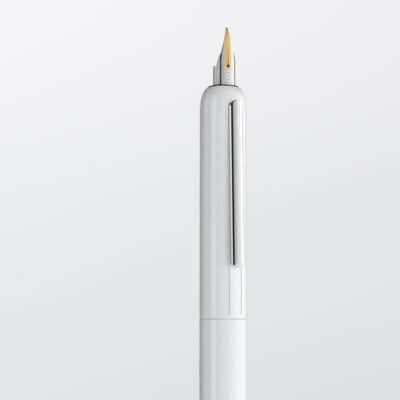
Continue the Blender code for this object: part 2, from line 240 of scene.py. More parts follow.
def nib_metal():
    """Two-tone nib: gold round the slit and at the tip, bright plating elsewhere, an engraved ornament, and
    painted shade along its edges and beside the slit.
    """
    g = Graph("nib_two_tone")
    x, _, z = g.xyz()
    x = g.math("MULTIPLY", x, 1 / MM)
    up = g.math("SUBTRACT", g.math("MULTIPLY", z, 1 / MM), LENGTH)
    side = g.math("ABSOLUTE", x)
    below = g.math("MAXIMUM", g.math("SUBTRACT", STRIPE_LOW, up), 0.0)
    beyond = g.math("SUBTRACT", g.distance(x, below), STRIPE_HALF)
    gold = g.span(beyond, -0.03, 0.03, 1.0, 0.0, True)
    marks = nib_ornament(g, x, side, up)
    # Painted shade along both edges of the nib: a near-black line, less metallic and rougher.
    border = painted_nib_edge_shade(g, x, side, up)
    # Painted shade beside the slit: a brown darkening of its edges above the breather hole, fading towards
    # the point.
    slit = g.math("MULTIPLY", g.span(side, 0.05, 0.24, 0.75, 0.0, True), g.span(up, 5.9, 12.5, 1.0, 0.0))
    slit = g.math("MULTIPLY", slit, g.math("GREATER_THAN", up, 5.7))

    grain = g.noise(6000, 3, 0.6, (1, 1, 0.08))
    haze = g.noise(500, 4, 0.6)
    yellow = g.mix(haze, (0.90, 0.60, 0.22), (0.95, 0.66, 0.27))
    silver = g.mix(haze, (0.80, 0.795, 0.785), (0.86, 0.86, 0.855))
    color = g.mix(gold, silver, yellow)
    color = g.mix(g.math("MULTIPLY", marks, 0.62), color, (0.22, 0.21, 0.20))
    # Painted shade beside the slit.
    color = g.mix(slit, color, (0.30, 0.17, 0.06))
    # Painted shade: near black along the nib's edges.
    color = g.mix(g.math("MULTIPLY", border, 0.96), color, (0.015, 0.015, 0.016))
    rough = g.math("ADD", g.span(grain, 0.3, 0.7, 0.09, 0.17), g.math("MULTIPLY", marks, 0.25))
    rough = g.math("ADD", rough, g.math("MULTIPLY", border, 0.25))
    height = g.math("SUBTRACT", g.math("MULTIPLY", gold, 0.25), marks)
    normal = g.bump(height, 0.5, 0.02 * MM, g.bump(grain, 0.05, 0.005 * MM))
    g.feed(g.shader.inputs["Metallic"], g.math("SUBTRACT", 1.0, g.math("MULTIPLY", border, 0.9)))
    return g.finish(color, rough, normal)


def feed_plastic():
    """Pale satin plastic with a near-black strip along the channel under the nib."""
    g = Graph("feed_plastic")
    fine = g.noise(5200, 4, 0.55)
    x, y, _ = g.xyz()
    narrow = g.span(g.math("ABSOLUTE", x), 0.85 * MM, 1.0 * MM, 1.0, 0.0)
    channel = g.math("MULTIPLY", narrow, g.span(y, -0.7 * MM, -0.4 * MM, 1.0, 0.0))
    pale = g.mix(g.noise(320, 3), (0.70, 0.695, 0.685), (0.75, 0.745, 0.735))
    color = g.mix(channel, pale, (0.012, 0.012, 0.014))
    return g.finish(color, g.span(fine, 0.3, 0.7, 0.36, 0.48), g.bump(fine, 0.12, 0.01 * MM))


def holder_plastic():
    """White plastic whose outer face is painted dark grey: painted shade for the dark line along the holder's
    edge.
    """
    g = Graph("holder_plastic")
    fine = g.noise(5200, 4, 0.55)
    x, y, _ = g.xyz()
    # Painted shade: dark grey on the holder's outer face, white on its cut faces and bore.
    skin = g.span(g.distance(x, y), (HOLDER_R - 0.07) * MM, (HOLDER_R - 0.04) * MM, 0.0, 1.0)
    white = g.mix(g.noise(320, 3), (0.93, 0.93, 0.92), (0.96, 0.96, 0.95))
    color = g.mix(skin, white, (0.28, 0.28, 0.285))
    return g.finish(color, g.span(fine, 0.3, 0.7, 0.22, 0.30), g.bump(fine, 0.12, 0.01 * MM))


LACQUER = lacquer()
# The clip's sides, beyond 2.072 mm from its middle, carry painted shade for the shadow line along the barrel.
CHROME = polished("clip_chrome", (0.86, 0.86, 0.865), (0.90, 0.90, 0.905), wall=2.072)
TRIM = polished("rim_chrome", (0.07, 0.07, 0.072), (0.10, 0.10, 0.103), 0.07, 0.12, (1, 1, 6))
BAND = polished("band_chrome", (0.72, 0.72, 0.73), (0.80, 0.80, 0.81), 0.06, 0.12, (1, 1, 6))
DISC = brushed("end_disc_metal", (0.70, 0.70, 0.71), (0.80, 0.80, 0.81), (0.16, 0.26), (1, 1, 1))
NIB = nib_metal()
TIPPING = brushed("tipping_metal", (0.30, 0.29, 0.28), (0.42, 0.41, 0.40), (0.25, 0.4), (1, 1, 1))
FEED = feed_plastic()
HOLDER = holder_plastic()
STEEL = brushed("turned_steel", (0.50, 0.50, 0.51), (0.68, 0.68, 0.69))
BRASS = brushed("turned_brass", (0.55, 0.42, 0.18), (0.74, 0.58, 0.29))
LID = brushed("lid_steel", (0.62, 0.62, 0.63), (0.74, 0.74, 0.75), (0.14, 0.24), (1, 8, 1))
SPRING = brushed("spring_steel", (0.42, 0.42, 0.43), (0.60, 0.60, 0.61), (0.22, 0.34), (1, 1, 2))
RUBBER = plastic("seal_rubber", (0.018, 0.018, 0.018), (0.032, 0.032, 0.032), (0.55, 0.75), 7000,
                 0.02 * MM, 0.3)
BLACK = plastic("black_plastic", (0.020, 0.020, 0.022), (0.035, 0.035, 0.038), (0.30, 0.42))
WASHER = plastic("joint_polymer", (0.80, 0.805, 0.815), (0.83, 0.835, 0.84), (0.35, 0.5))
THRUST = plastic("bearing_polymer", (0.72, 0.71, 0.66), (0.80, 0.79, 0.74), (0.35, 0.5))
CLEAR = plastic("clear_plastic", (0.86, 0.89, 0.92), (0.92, 0.94, 0.96), (0.03, 0.08), 1200,
                0.004 * MM, 0.05, Transmission_Weight=0.92, IOR=1.49)


# ---------------------------------------------------------------- mesh helpers

# Edges that turn by more than this, in degrees, stay sharp.
SHARP = 38.0


def piece(name, bm, material, body, *nodes, sharp=SHARP):
    """Makes a bmesh drawn in millimetres into a piece that rides on a body and stands for CAD nodes."""
    bmesh.ops.recalc_face_normals(bm, faces=bm.faces)
    bmesh.ops.scale(bm, vec=(MM, MM, MM), verts=bm.verts)
    mesh = bpy.data.meshes.new(name)
    bm.to_mesh(mesh)
    bm.free()
    mesh.materials.append(material)
    mesh.shade_smooth()
    mesh.set_sharp_from_angle(angle=radians(sharp))
    ob = bpy.data.objects.new(name, mesh)
    look.objects.link(ob)
    if body:
        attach(ob, body)
    if nodes:
        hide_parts(*nodes)
    return ob


def bridge(bm, low, high):
    """Faces between two closed rings of as many corners each."""
    for i in range(len(low)):
        j = (i + 1) % len(low)
        bm.faces.new((low[i], low[j], high[j], high[i]))


def loft(bm, rings):
    """Faces between each closed ring and the next."""
    for low, high in zip(rings, rings[1:]):
        bridge(bm, low, high)


def rounded(points, radius, count=4):
    """A closed profile of (r, z) points with rounded corners. A third number in a point is its own radius."""
    straight = radians(86)
    out = []
    n = len(points)
    for i, p in enumerate(points):
        r = p[2] if len(p) > 2 else radius
        here = Vector(p[:2])
        a = Vector(points[i - 1][:2]) - here
        b = Vector(points[(i + 1) % n][:2]) - here
        half = a.angle(b) / 2
        if p[0] == 0 or half > straight:
            out.append(tuple(here))
            continue
        cut = min(r / tan(half), 0.45 * a.length, 0.45 * b.length)
        start, end = here + a.normalized() * cut, here + b.normalized() * cut
        for k in range(count + 1):
            t = k / count
            q = start * (1 - t) ** 2 + here * 2 * t * (1 - t) + end * t * t
            out.append((q.x, q.y))
    return out


def circle(bm, radius, z, steps):
    """Corners of a ring about the pen axis, or the one corner on the axis."""
    if radius == 0:
        return [bm.verts.new((0, 0, z))]
    angles = [2 * pi * i / steps for i in range(steps)]
    return [bm.verts.new((radius * cos(a), radius * sin(a), z)) for a in angles]


def turned(profile, steps=96):
    """A closed profile of (radius, height) turned about the pen axis."""
    bm = bmesh.new()
    rings = [circle(bm, r, z, steps) for r, z in profile]
    for a, b in zip(rings, rings[1:] + rings[:1]):
        if len(a) == 1 and len(b) == 1:
            continue
        for i in range(steps):
            j = (i + 1) % steps
            quad = [a[i % len(a)], a[j % len(a)], b[j % len(b)], b[i % len(b)]]
            bm.faces.new(list(dict.fromkeys(quad)))
    return bm


def soften(bm, edges, offset=0.08):
    """Rounds edges off. This comes last: what is added after a bevel lands in an order that varies by run."""
    bmesh.ops.bevel(bm, geom=edges, offset=offset, segments=2, affect="EDGES")


def rod_into(bm, radius, start, end, sides=24):
    """Adds a capped cylinder to a bmesh, and returns the edges of its two ends."""
    a, b = Vector(start), Vector(end)
    turn = (b - a).to_track_quat("Z", "Y").to_matrix().to_4x4()
    made = bmesh.ops.create_cone(bm, cap_ends=True, segments=sides, radius1=radius, radius2=radius,
                                 depth=(b - a).length)
    bmesh.ops.transform(bm, matrix=Matrix.Translation((a + b) / 2) @ turn, verts=made["verts"])
    edges = dict.fromkeys(e for v in made["verts"] for e in v.link_edges)
    return [e for e in edges if len(e.link_faces) == 2 and e.calc_face_angle() > 1]


# ---------------------------------------------------------------- barrels

# GROOVE_AT and SLOT_HALF are angles, in degrees from the middle of the engraved side.
BORE_RIM, BORE_START = MOUTH_R - 0.1, 0.75
DOME_ROWS = 22
GROOVE_AT, GROOVE_DEEP, GROOVE_HALF, GROOVE_FLANK, GROOVE_RUNOUT = 16.75, 0.3, 0.205, 0.07, 0.12
FRONT_GROOVE, REAR_GROOVE = (76.7, 89.3), (12.0, 74.7)
SLOT_HALF, SLOT_LOW, SLOT_HIGH = 15.2, 125.2, 133.4
# Inset and distance from the joint, for the softened edges of both barrels there.
JOINT_EDGE = ((0.0, 0.16), (0.02, 0.06), (0.07, 0.015), (0.14, 0.0))


def dome_radius(depth, rim, side):
    """Radius of a rounded end at a depth behind its rim."""
    if depth >= DOME_L:
        return side
    a = DOME_L - 2 * DOME_PULL
    t = (-2 * DOME_PULL + sqrt(4 * DOME_PULL**2 + 4 * a * max(0.0, depth))) / (2 * a)
    return side - (1 - t) ** 2 * (side - rim)


def shell_radius(depth):
    return dome_radius(depth, MOUTH_R, BARREL_R)


def bore_radius(depth):
    return dome_radius(depth, BORE_RIM, BORE_R)


def dome_depths(first):
    """Depths of the rows of a rounded end, closer together at its rim."""
    return [first + (DOME_L - first) * (i / DOME_ROWS) ** 1.4 for i in range(DOME_ROWS + 1)]


def groove_depth(across, to_low, to_high):
    """Depth of an engraved line at a distance from its middle and from its two ends."""
    side = clamp((GROOVE_HALF - across) / GROOVE_FLANK)
    along = clamp(to_low / GROOVE_RUNOUT) * clamp(to_high / GROOVE_RUNOUT)
    return GROOVE_DEEP * side * side * (3 - 2 * side) * along


def groove_rows(low, high):
    return (high, high - GROOVE_RUNOUT, low + GROOVE_RUNOUT, low)


def barrel_angles(slotted):
    """Angles of a barrel's columns, close together at the lines, with one at each edge of the slot."""
    half = (0.06, 0.13, 0.165, 0.20, 0.28)
    offsets = [degrees(s / BARREL_R) for s in (*[-s for s in reversed(half)], 0.0, *half)]
    angles = [mark + offset for mark in (-GROOVE_AT, GROOVE_AT) for offset in offsets]
    if slotted:
        angles += [-SLOT_HALF, SLOT_HALF]
    step, least = 2.5, 1.2
    for i in range(int(360 / step)):
        a = -180 + i * step
        if all(abs(a - b) > least for b in angles):
            angles.append(a)
    return sorted(angles)


def slot_walls(bm, rows, cells):
    """Walls of the slot: each open edge of the outer skin is joined to the same edge of the inner skin."""
    def corner(part, z, column):
        return next(corners[column] for p, h, corners in rows if p == part and abs(h - z) < 1e-4)

    heights = sorted({z for low, high, _ in cells for z in (low, high)})
    columns = sorted({i for _, _, i in cells})
    first, last = columns[0], columns[-1] + 1
    edges = [((a, c), (b, c)) for a, b in zip(heights, heights[1:]) for c in (first, last)]
    edges += [((h, c), (h, c + 1)) for h in (heights[0], heights[-1]) for c in range(first, last)]
    for a, b in edges:
        bm.faces.new((corner("outer", *a), corner("outer", *b), corner("inner", *b), corner("inner", *a)))


def barrel(outer, inner, turn, groove, slotted=False):
    """A barrel as one closed skin: outer and inner are (radius, height) rows that meet at both ends.

    Two fine lines are engraved at GROOVE_AT either side of turn (degrees), over the heights in groove. The
    slotted barrel also has the opening for the clip's plate, at turn.
    """
    low, high = groove
    angles = barrel_angles(slotted)
    rows, bm = [], bmesh.new()
    for part, profile in (("outer", outer), ("inner", inner)):
        for r, z in profile:
            corners = []
            for a in angles:
                across = min(abs(a + GROOVE_AT), abs(a - GROOVE_AT)) * pi / 180 * BARREL_R
                q = r - groove_depth(across, z - low, high - z) if part == "outer" else r
                t = radians(a + turn)
                corners.append(bm.verts.new((q * cos(t), q * sin(t), z)))
            rows.append((part, z, corners))
    open_cells = set()
    for (part, z, corners), (part2, z2, corners2) in zip(rows, rows[1:] + rows[:1]):
        bottom, top = min(z, z2), max(z, z2)
        for i in range(len(angles)):
            j = (i + 1) % len(angles)
            over_slot = slotted and part == part2 and SLOT_LOW <= bottom and top <= SLOT_HIGH
            if over_slot and j and abs(angles[i] + angles[j]) / 2 < SLOT_HALF:
                if part == "outer":
                    open_cells.add((round(bottom, 4), round(top, 4), i))
                continue
            bm.faces.new((corners[i], corners[j], corners2[j], corners2[i]))
    if open_cells:
        slot_walls(bm, rows, open_cells)
    return bm


def front_profiles():
    """Outer and inner rows of the front barrel. Both skins have the same rows along the slot."""
    edge = JOINT_Z + JOINT_GAP / 2
    dome_rows = [LENGTH - d for d in dome_depths(RIM_H)[1:]]
    slot_rows = [SLOT_HIGH, *[z for z in dome_rows if z < SLOT_HIGH - 0.1], 129.0, SLOT_LOW]
    lower_rows = (118.0, 108.0, 98.0, 89.6, 85.0, 80.0, 76.4, *groove_rows(*FRONT_GROOVE))
    outer = [(MOUTH_R + 0.10, LENGTH - RIM_H - 0.02), (MOUTH_R + 0.16, LENGTH - RIM_H)]
    outer += [(shell_radius(LENGTH - z), z) for z in {*dome_rows, *slot_rows, *lower_rows}]
    outer.sort(key=lambda p: -p[1])
    outer += [(BARREL_R - inset, edge + away) for inset, away in JOINT_EDGE]
    inner = [(BORE_R, z) for z in (edge, 90.0, 110.0)]
    inner += [(bore_radius(LENGTH - BORE_START - z), z) for z in reversed(slot_rows)]
    inner += [(bore_radius(d), LENGTH - BORE_START - d) for d in (4.0, 3.0, 2.0, 1.2, 0.5)]
    inner += [(MOUTH_R - 0.12, LENGTH - 1.2), (MOUTH_R - 0.12, LENGTH - RIM_H - 0.06)]
    return outer, inner


def rear_profiles():
    """Outer and inner rows of the rear barrel, which ends in a small flat rim."""
    edge = JOINT_Z - JOINT_GAP / 2
    heights = (75.0, 70.0, 60.0, 50.0, 40.0, 30.0, 20.0, 11.6, 9.0, *groove_rows(*REAR_GROOVE))
    outer = [(BARREL_R - inset, edge - away) for inset, away in reversed(JOINT_EDGE)]
    outer += [(BARREL_R, z) for z in sorted(heights, reverse=True)]
    outer += [(shell_radius(d), d) for d in reversed(dome_depths(0.0)[1:])]
    outer += [(MOUTH_R + 0.03, 0.02), (MOUTH_R - 0.03, 0.0), (MOUTH_R - 0.12, 0.0), (MOUTH_R - 0.17, 0.05)]
    inner = [(MOUTH_R - 0.17, 1.35)]
    inner += [(bore_radius(d), d + BORE_START) for d in (1.0, 2.0, 3.0, 4.5, 7.0)]
    inner += [(BORE_R, z) for z in (30.0, 55.0, edge)]
    return outer, inner


piece("front_shell", barrel(*front_profiles(), -90, FRONT_GROOVE, True), LACQUER, "front", "front_barrel")
piece("rear_shell", barrel(*rear_profiles(), 90, REAR_GROOVE), LACQUER, "rear", "rear_barrel")

disc = [(0, 1.2), (3.8, 1.2), (4.0, 1.0), (4.0, 0.0), (3.1, 0.0, 0.02), (3.0, 0.12, 0.02), (2.9, 0.0, 0.02),
        (0, 0.0)]
piece("end_disc", turned(rounded(disc, 0.12)), DISC, "rear", "rear_end_disc")
washer = [(6.43, JOINT_Z + 0.13), (6.43, JOINT_Z - 0.13), (5.75, JOINT_Z - 0.13), (5.75, JOINT_Z + 0.13)]
piece("joint_ring", turned(rounded(washer, 0.03), 128), WASHER, "rear", "joint_washer")

# ---------------------------------------------------------------- mouth

rim_low = LENGTH - RIM_H + 0.02
ring = [(MOUTH_R - 0.14, LENGTH, 0.10), (MOUTH_R + 0.01, LENGTH - 0.16, 0.4), (MOUTH_R + 0.11, rim_low, 0.02),
        (4.2, rim_low, 0.02), (4.2, LENGTH - 1.1), (3.8, LENGTH - 1.1), (3.8, LENGTH - 0.18),
        (3.92, LENGTH)]
piece("mouth_trim", turned(rounded(ring, 0.07), 128), TRIM, "front", "mouth_ring")
lip = [(4.0, LENGTH - 1.3), (4.45, LENGTH - 2.0), (3.85, LENGTH - 2.0), (3.6, LENGTH - 1.6),
       (3.6, LENGTH - 1.3)]
piece("mouth_lip", turned(rounded(lip, 0.12), 96), RUBBER, "front", "mouth_seal")


def eyelid():
    """The closure: an eyelid cut from a ball, with a thick hub and a thin pivot at each side."""
    along, across, hub_angle = 28, 44, 9
    rolls = [radians(LID_OPEN - LID_HALF + 2 * LID_HALF * i / along) for i in range(along + 1)]
    swings = [radians(hub_angle + (180 - 2 * hub_angle) * j / across) for j in range(across + 1)]

    def corner(r, a, b):
        return r * cos(b), r * sin(b) * sin(a), LID_Z + r * sin(b) * cos(a)

    bm = bmesh.new()
    shells = []
    for r in (LID_R, LID_R - LID_T):
        grid = [[bm.verts.new(corner(r, a, b)) for b in swings] for a in rolls]
        for r0, r1 in zip(grid, grid[1:]):
            for j in range(across):
                bm.faces.new((r0[j], r1[j], r1[j + 1], r0[j + 1]))
        shells.append(grid)
    border = [(i, 0) for i in range(along)] + [(along, j) for j in range(across)]
    border += [(i, across) for i in range(along, 0, -1)] + [(0, j) for j in range(across, 0, -1)]
    outer, inner = ([grid[i][j] for i, j in border] for grid in shells)
    bridge(bm, outer, inner)
    bmesh.ops.recalc_face_normals(bm, faces=bm.faces)
    rims = [e for e in bm.edges if len(e.link_faces) == 2 and e.calc_face_angle() > radians(50)]
    for s in (-1, 1):
        rims += rod_into(bm, 1.15, (s * 4.62, 0, LID_Z), (s * 5.33, 0, LID_Z), 32)
        rims += rod_into(bm, 0.6, (s * 5.0, 0, LID_Z), (s * 5.6, 0, LID_Z), 24)
    soften(bm, rims)
    return bm


piece("eyelid", eyelid(), LID, "closure", "closure_lid")

# ---------------------------------------------------------------- nib unit

SLIT_HALF, BREATHER_R = 0.04, 0.44
POINT_R = 0.3
FIN_TOP, FIN_PITCH, FIN_ROWS = 5.9, 0.18, 42
# The visual tube is a little thicker than the CAD one, inwards, so that no gap shows at the nib's sides.
VISUAL_BORE = HOLDER_BORE - 0.12


def nib_half_width(z):
    """Half the nib's width at a height over the rim."""
    s = max(0.0, (z - NIB_SHOULDER) / (NIB_TIP - NIB_SHOULDER))
    return 0.22 + 2.26 * max(0.0, 1 - s**1.3) ** 1.2


def nib_crown(z):
    """Height over the pen axis of the nib's middle line."""
    return 2.69 - 0.71 * clamp((z - 3.0) / (NIB_TIP - 3.0)) ** 3.2


def nib_section(u, z, w):
    """Height over the pen axis of the nib's outer face, which turns down a little at its edges."""
    t = max(0.0, abs(u) / w - 0.88) / 0.12
    return nib_crown(z) - (NIB_ROUND - sqrt(NIB_ROUND**2 - u * u)) - 0.075 * t * t * w / 2.5


def nib_corner(u, z, depth):
    """A corner of the nib's mesh at u from its middle line, a depth under its outer face."""
    w = nib_half_width(z)
    low, high = max(u - 0.01, -w), min(u + 0.01, w)
    slope = (nib_section(high, z, w) - nib_section(low, z, w)) / (high - low)
    length = sqrt(1 + slope * slope)
    return u + depth * slope / length, depth / length - nib_section(u, z, w), LENGTH + z


def nib_sheet():
    """The nib as a bent sheet, slit from the breather hole to the tip."""
    heights = [NIB_BASE, -1.0, 0.0, 1.0, 2.0, 3.0, 3.8, 4.4, 4.8, 5.1, 5.3, BREATHER, 5.7, 5.9, 6.3, 6.8]
    heights += [NIB_SHOULDER + (NIB_TIP - 0.35 - NIB_SHOULDER) * i / 34 for i in range(35)]
    shares = [0.0, 0.05, 0.12, 0.2, 0.3, 0.4, 0.5, 0.6, 0.68, 0.74, 0.79, 0.83, 0.87, 0.91, 0.94, 0.97]
    shares += [0.99, 1.0]
    bm = bmesh.new()
    layers = []
    for depth in (0.0, NIB_T):
        rows = []
        for z in heights:
            right = [SLIT_HALF + (nib_half_width(z) - SLIT_HALF) * s for s in shares]
            across = [-u for u in reversed(right)] + right
            rows.append([bm.verts.new(nib_corner(u, z, depth)) for u in across])
        layers.append(rows)
    columns, mid, last = 2 * len(shares), len(shares) - 1, len(heights) - 1
    open_from = heights.index(BREATHER)
    for rows in layers:
        for i, (r0, r1) in enumerate(zip(rows, rows[1:])):
            for c in range(columns - 1):
                if c != mid or i < open_from:
                    bm.faces.new((r0[c], r0[c + 1], r1[c + 1], r1[c]))
    walls = [((i, c), (i + 1, c)) for c in (0, columns - 1) for i in range(last)]
    walls += [((0, c), (0, c + 1)) for c in range(columns - 1)]
    walls += [((last, c), (last, c + 1)) for c in range(columns - 1) if c != mid]
    walls += [((i, c), (i + 1, c)) for i in range(open_from, last) for c in (mid, mid + 1)]
    walls += [((open_from, mid), (open_from, mid + 1))]
    outer, inner = layers
    for (i, c), (i2, c2) in walls:
        bm.faces.new((outer[i][c], outer[i2][c2], inner[i2][c2], inner[i][c]))
    return bm


def drill_breather(sheet):
    """Cuts the breather hole through the finished nib sheet."""
    bm = bmesh.new()
    soften(bm, rod_into(bm, BREATHER_R, (0, -5, LENGTH + BREATHER), (0, -0.5, LENGTH + BREATHER), 40))
    cutter = piece("breather_cutter", bm, NIB, None)
    hole = sheet.modifiers.new("breather", "BOOLEAN")
    hole.operation, hole.solver, hole.object = "DIFFERENCE", "EXACT", cutter
    bpy.context.view_layer.update()
    mesh = bpy.data.meshes.new_from_object(sheet.evaluated_get(bpy.context.evaluated_depsgraph_get()))
    sheet.modifiers.clear()
    sheet.data = mesh
    mesh.shade_smooth()
    mesh.set_sharp_from_angle(angle=radians(SHARP))
    bpy.data.objects.remove(cutter)


def tipping():
    """A small ball at the nib's point, narrower at the top and with a dent over the slit."""
    bm = bmesh.new()
    bmesh.ops.create_icosphere(bm, subdivisions=4, radius=POINT_R)
    for v in bm.verts:
        squeeze = 1.0 - 0.18 * max(0.0, v.co.z / POINT_R)
        v.co.x *= 0.9 * squeeze * (0.86 if abs(v.co.x) < 0.03 else 1.0)
        v.co.y *= squeeze
        v.co.z *= 0.9
    bmesh.ops.translate(bm, vec=(0, -1.80, LENGTH + NIB_TIP - 0.27), verts=bm.verts)
    return bm


def feed_cut(angle, r, z):
    """How far the feed's side is cut back at an angle: comb fins and a channel, both on its far side."""
    fin = round((FIN_TOP - z) / FIN_PITCH)
    far = clamp((sin(angle) - 0.62) / 0.12)
    deep = 0.32 * far if r > 1.5 and z <= FIN_TOP and fin % 3 == 1 else 0.0
    channel = max(0.0, 1 - abs(cos(angle)) * r / 0.28) if sin(angle) > 0 and r > 0.9 else 0.0
    return deep + 0.22 * min(1.0, 2 * channel)


def feed_body():
    """The feed: a turned body with a pointed end, cut by feed_cut()."""
    steps = 72
    profile = [(0.45, 10.22), (0.62, 10.02), (0.97, 9.4), (1.2, 8.8), (1.45, 8.0), (1.68, 7.2), (1.84, 6.5)]
    profile += [(FEED_R, FIN_TOP - FIN_PITCH * i) for i in range(FIN_ROWS)]
    profile += [(FEED_R, -1.6), (0.85, -1.62), (0.85, 122.0 - LENGTH)]
    bm = bmesh.new()
    rings = []
    for r, z in profile:
        ring = []
        for i in range(steps):
            a = 2 * pi * i / steps
            q = r - feed_cut(a, r, z)
            ring.append(bm.verts.new((q * cos(a), q * sin(a), LENGTH + z)))
        rings.append(ring)
    loft(bm, rings)
    bm.faces.new(list(reversed(rings[0])))
    bm.faces.new(rings[-1])
    return bm


def holder_shell():
    """The holder: a tube cut away in front of the nib, with softened ends."""
    steps = 72
    ends = ((HOLDER_BASE, 0.05), (HOLDER_BASE + 0.05, 0.0), (0.0, 0.0), (2.0, 0.0), (4.0, 0.0),
            (HOLDER_TOP - 0.12, 0.0), (HOLDER_TOP - 0.05, 0.02), (HOLDER_TOP - 0.015, 0.05),
            (HOLDER_TOP, 0.10))
    bm = bmesh.new()
    rows = []
    for z, inset in ends:
        outer_r, inner_r, cut = HOLDER_R - inset, VISUAL_BORE + inset, 0.3 + inset
        outer_a, inner_a = asin(-cut / outer_r), asin(-cut / inner_r)
        arc = [(outer_r, -outer_a + (pi + 2 * outer_a) * k / steps) for k in range(steps + 1)]
        arc += [(inner_r, pi + inner_a - (pi + 2 * inner_a) * k / steps) for k in range(steps + 1)]
        rows.append([bm.verts.new((r * cos(t), r * sin(t), LENGTH + z)) for r, t in arc])
    loft(bm, rows)
    count = len(rows[0])
    for row in (rows[0], rows[-1]):
        for k in range(count // 2 - 1):
            bm.faces.new((row[k], row[k + 1], row[count - 2 - k], row[count - 1 - k]))
    return bm


nib = piece("nib_sheet", nib_sheet(), NIB, None)
drill_breather(nib)
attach(nib, "nib_unit")
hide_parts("nib")
piece("nib_point", tipping(), TIPPING, "nib_unit", "nib_tipping", sharp=60)
piece("feed_body", feed_body(), FEED, "nib_unit", "feed", sharp=30)
piece("holder_shell", holder_shell(), HOLDER, "nib_unit", "nib_holder", sharp=30)

# ---------------------------------------------------------------- clip

CLIP_SAG, CLIP_HALF, CLIP_CENTRE = 0.3, 2.0, 132.42
FACE_HALF, FACE_END, FACE_CORNER, FACE_N, CROWN = 1.40, 89.70, 0.2, 7.337, 0.17
# Half width, lower end, corner radius and height over the axis: underside, side wall, chamfer, facet, face.
CLIP_LEVELS = [
    (1.50, 91.1, 0.4, 6.95), (1.53, 91.05, 0.4, 0), (2.05, 90.26, 0.35, 0),
    (2.09, 90.18, 0.38, 6.26), (2.09, 90.12, 0.38, 6.30), (2.085, 89.98, 0.36, 6.52),
    (2.075, 89.95, 0.36, 6.55), (2.068, 89.945, 0.36, 6.564), (1.838, 89.76, 0.33, 6.965),
    (1.830, 89.74, 0.32, 6.978), (1.820, 89.72, 0.31, 6.987), (1.4225, 89.68, 0.22, 7.3205),
    (FACE_HALF, FACE_END, FACE_CORNER, FACE_N),
]


def quarter(u, z, radius, first):
    """A quarter circle round (u, z), from an angle on."""
    turns = [first + 0.5 * pi * k / 6 for k in range(7)]
    return [(u + radius * cos(t), z + radius * sin(t)) for t in turns]


def clip_outline(half, end, corner):
    """One outline of the bar as (u, z) points: round top, rounded corners and a slightly bowed lower end."""
    steps, power, squash = 24, 0.84, 0.92
    centre = CLIP_CENTRE + 0.9 * (CLIP_HALF - half)
    flat = half - corner
    top, bow = [], []
    for i in range(steps + 1):
        c, s = cos(pi * i / steps), sin(pi * i / steps)
        u = half * abs(c) ** power
        top.append((u if c > 0 else -u, centre + squash * half * abs(s) ** power))
    for k in range(1, 10):
        q = k / 5 - 1
        bow.append((flat * q, end - CLIP_SAG * (half / CLIP_HALF) * (1 - q * q)))
    left = quarter(-flat, end + corner, corner, pi)
    right = quarter(flat, end + corner, corner, 1.5 * pi)
    return top + left + bow + right


def clip_ring(half, end, corner, n):
    """Corners of one outline, n over the axis, but no nearer to the barrel than the clip needs to lift."""
    corners = []
    for u, z in clip_outline(half, end, corner):
        room = 6.58 + 0.21 * clamp((z - CLIP_HINGE[1]) / 2.2)
        corners.append((u, -max(n, sqrt(room * room - u * u)), z))
    return corners


def clip_body():
    """The clip: a bar with a crowned face, a block at its root, and a hinge pin."""
    bm = bmesh.new()
    levels = list(CLIP_LEVELS)
    for i in range(1, 9):
        q = 1 - i / 8 * 0.9
        end = FACE_END + FACE_HALF * (1 - q) * 0.9
        levels.append((FACE_HALF * q, end, FACE_CORNER * q, FACE_N + CROWN * (1 - q * q)))
    rings = [[bm.verts.new(p) for p in clip_ring(*level)] for level in levels]
    loft(bm, rings)
    bm.faces.new(rings[-1])
    bm.faces.new(list(reversed(rings[0])))
    root = bmesh.ops.create_cube(bm, size=1.0)["verts"]
    bmesh.ops.scale(bm, vec=(1.6, 1.45, 1.2), verts=root)
    bmesh.ops.translate(bm, vec=(0, -6.475, CLIP_HINGE[1]), verts=root)
    soften(bm, rod_into(bm, 0.3, (-1.5, *CLIP_HINGE), (1.5, *CLIP_HINGE)), 0.06)
    hinge = Vector((0, *CLIP_HINGE))
    tilt = Matrix.Rotation(radians(-CLIP_TILT), 4, "X")
    tilt = Matrix.Translation(hinge) @ tilt @ Matrix.Translation(-hinge)
    bmesh.ops.transform(bm, matrix=tilt, verts=bm.verts)
    return bm


piece("clip_body", clip_body(), CHROME, "clip", "clip_bar", sharp=24)

# ---------------------------------------------------------------- take-up spring

COIL_R, WIRE_R, COIL_LOW, COIL_HIGH, COIL_TURNS = 3.0, 0.25, 1.8, 44.3, 10


def spring_coil():
    """A round coil between the rear disc and the spring cup."""
    turn_steps, wire_steps = 36, 10
    steps = COIL_TURNS * turn_steps
    slope = atan((COIL_HIGH - COIL_LOW) / (COIL_TURNS * 2 * pi * COIL_R))
    wire = [2 * pi * k / wire_steps for k in range(wire_steps)]
    bm = bmesh.new()
    rows = []
    for i in range(steps + 1):
        t = 2 * pi * i / turn_steps
        middle = Vector((COIL_R * cos(t), COIL_R * sin(t), COIL_LOW + (COIL_HIGH - COIL_LOW) * i / steps))
        outward = Vector((cos(t), sin(t), 0))
        upward = Vector((sin(t) * sin(slope), -cos(t) * sin(slope), cos(slope)))
        offsets = [WIRE_R * (outward * cos(w) + upward * sin(w)) for w in wire]
        rows.append([bm.verts.new(middle + offset) for offset in offsets])
    loft(bm, rows)
    bm.faces.new(rows[0])
    bm.faces.new(list(reversed(rows[-1])))
    return bm


# The coil keeps clear of the cup, and gets a mesh of its own. How it shortens as the nib unit goes in is not
# drawn here.
coil = piece("spring_coil", spring_coil(), SPRING, "rear", "take_up_spring", sharp=60)
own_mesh(coil)

# ---------------------------------------------------------------- carried-over nodes

